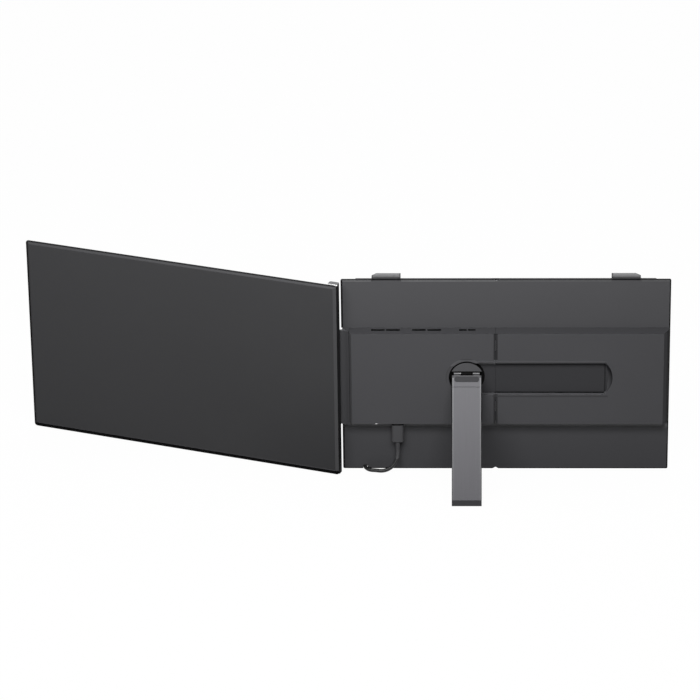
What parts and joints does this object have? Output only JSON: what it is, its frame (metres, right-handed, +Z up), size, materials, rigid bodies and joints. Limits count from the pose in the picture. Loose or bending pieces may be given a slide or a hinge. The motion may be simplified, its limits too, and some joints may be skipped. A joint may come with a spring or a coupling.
{
  "type": "laptop screen extender",
  "caption": "Bracket that hooks over a laptop's lid and slides out to fit it, with a side screen on a vertical hinge and a folding kickstand on a swivel.",
  "frame": {"origin": "on the floor, under the middle of the box round the open rest pose without its cable", "axes": "+X along the bracket from the side screen to the sliding half, +Y towards the user, +Z up"},
  "size_m": [0.6246, 0.177, 0.204],
  "materials": {
    "bracket_plate": "matt dark grey powder coat",
    "slide_plate": "matt dark grey powder coat",
    "pad_rubber": "soft matt rubber",
    "housing": "fine matt dark grey plastic",
    "strip": "matt near-black plastic",
    "rail": "extruded, plain",
    "steel": "pressed steel",
    "pin_steel": "bright steel",
    "board": "green circuit board with chips",
    "flex": "amber film",
    "runner": "natural acetal",
    "hook": "matt grey paint",
    "hook_guide": "matt near-black plastic",
    "leg": "satin grey anodised",
    "leg_pad": "matt grey inlay",
    "foot": "matt rubber",
    "screen_cover": "fine matt dark grey plastic",
    "bezel": "matt near-black plastic",
    "glass": "smooth anti-glare front",
    "panel": "dark switched-off picture",
    "backlight": "thin tray and light guide",
    "plug": "moulded grip with a steel shell",
    "cable": "matt cable jacket",
    "tie": "black tie"
  },
  "bodies": {
    "bracket": {"left_back_plate": "bracket_plate", "slide_plate": "slide_plate", "upper_pad": "pad_rubber", "lower_pad": "pad_rubber", "left_housing": "housing", "left_vent_strip": "strip", "leg_tray": "housing", "upper_rail": "rail", "lower_rail": "rail", "rail_rivets": "steel", "bracket_screws": "steel", "left_housing_screws": "steel", "main_board": "board", "port_board": "board", "usb_ports": "pin_steel", "board_flex": "flex", "hinge_bracket": "steel", "hinge_pin": "pin_steel", "hinge_cover": "housing", "left_hook_guide": "hook_guide", "cable_plug": "plug", "cable_relief": "plug", "cable_run": "cable", "cable_coil": "cable", "cable_tie": "tie", "cable_end_relief": "plug", "cable_end_plug": "plug"},
    "right_half": {"right_back_plate": "bracket_plate", "right_housing": "housing", "right_top_strip": "strip", "upper_runner": "runner", "lower_runner": "runner", "right_housing_screws": "steel", "right_hook_guide": "hook_guide"},
    "left_hook": {"left_hook": "hook", "left_hook_pad": "pad_rubber"},
    "right_hook": {"right_hook": "hook", "right_hook_pad": "pad_rubber"},
    "stand_disc": {"stand_disc": "housing", "disc_washer": "steel", "disc_screw": "steel"},
    "stand_leg": {"leg_head": "leg", "leg_plate": "leg", "leg_hinge_pad": "leg_pad", "leg_foot": "foot", "leg_pin": "pin_steel"},
    "side_screen": {"screen_back_cover": "screen_cover", "screen_front_frame": "bezel", "display_glass": "glass", "display_panel": "panel", "backlight_plate": "backlight", "driver_board": "board", "display_ribbon": "flex", "screen_spine": "screen_cover", "hinge_arms": "steel", "spine_screws": "steel"}
  },
  "joints": [
    {"name": "width_slide", "type": "slide", "parent": "bracket", "child": "right_half", "axis": [1, 0, 0], "range_m": [0, 0.08]},
    {"name": "left_hook_slide", "type": "slide", "parent": "bracket", "child": "left_hook", "axis": [0, 0, 1], "range_m": [0, 0.018]},
    {"name": "right_hook_slide", "type": "slide", "parent": "right_half", "child": "right_hook", "axis": [0, 0, 1], "range_m": [0, 0.018]},
    {"name": "stand_swivel", "type": "hinge", "parent": "bracket", "child": "stand_disc", "pos_m": [0.1176, -0.014, 0.101], "axis": [0, -1, 0], "range_deg": [0, 90]},
    {"name": "stand_fold", "type": "hinge", "parent": "stand_disc", "child": "stand_leg", "pos_m": [0.1176, -0.0146, 0.1053], "axis": [-1, 0, 0], "range_deg": [-34.5, 25]},
    {"name": "screen_hinge", "type": "hinge", "parent": "bracket", "child": "side_screen", "pos_m": [-0.0057, -0.0067, 0.101], "axis": [0, 0, 1], "range_deg": [-160.7, 19.3]}
  ]
}
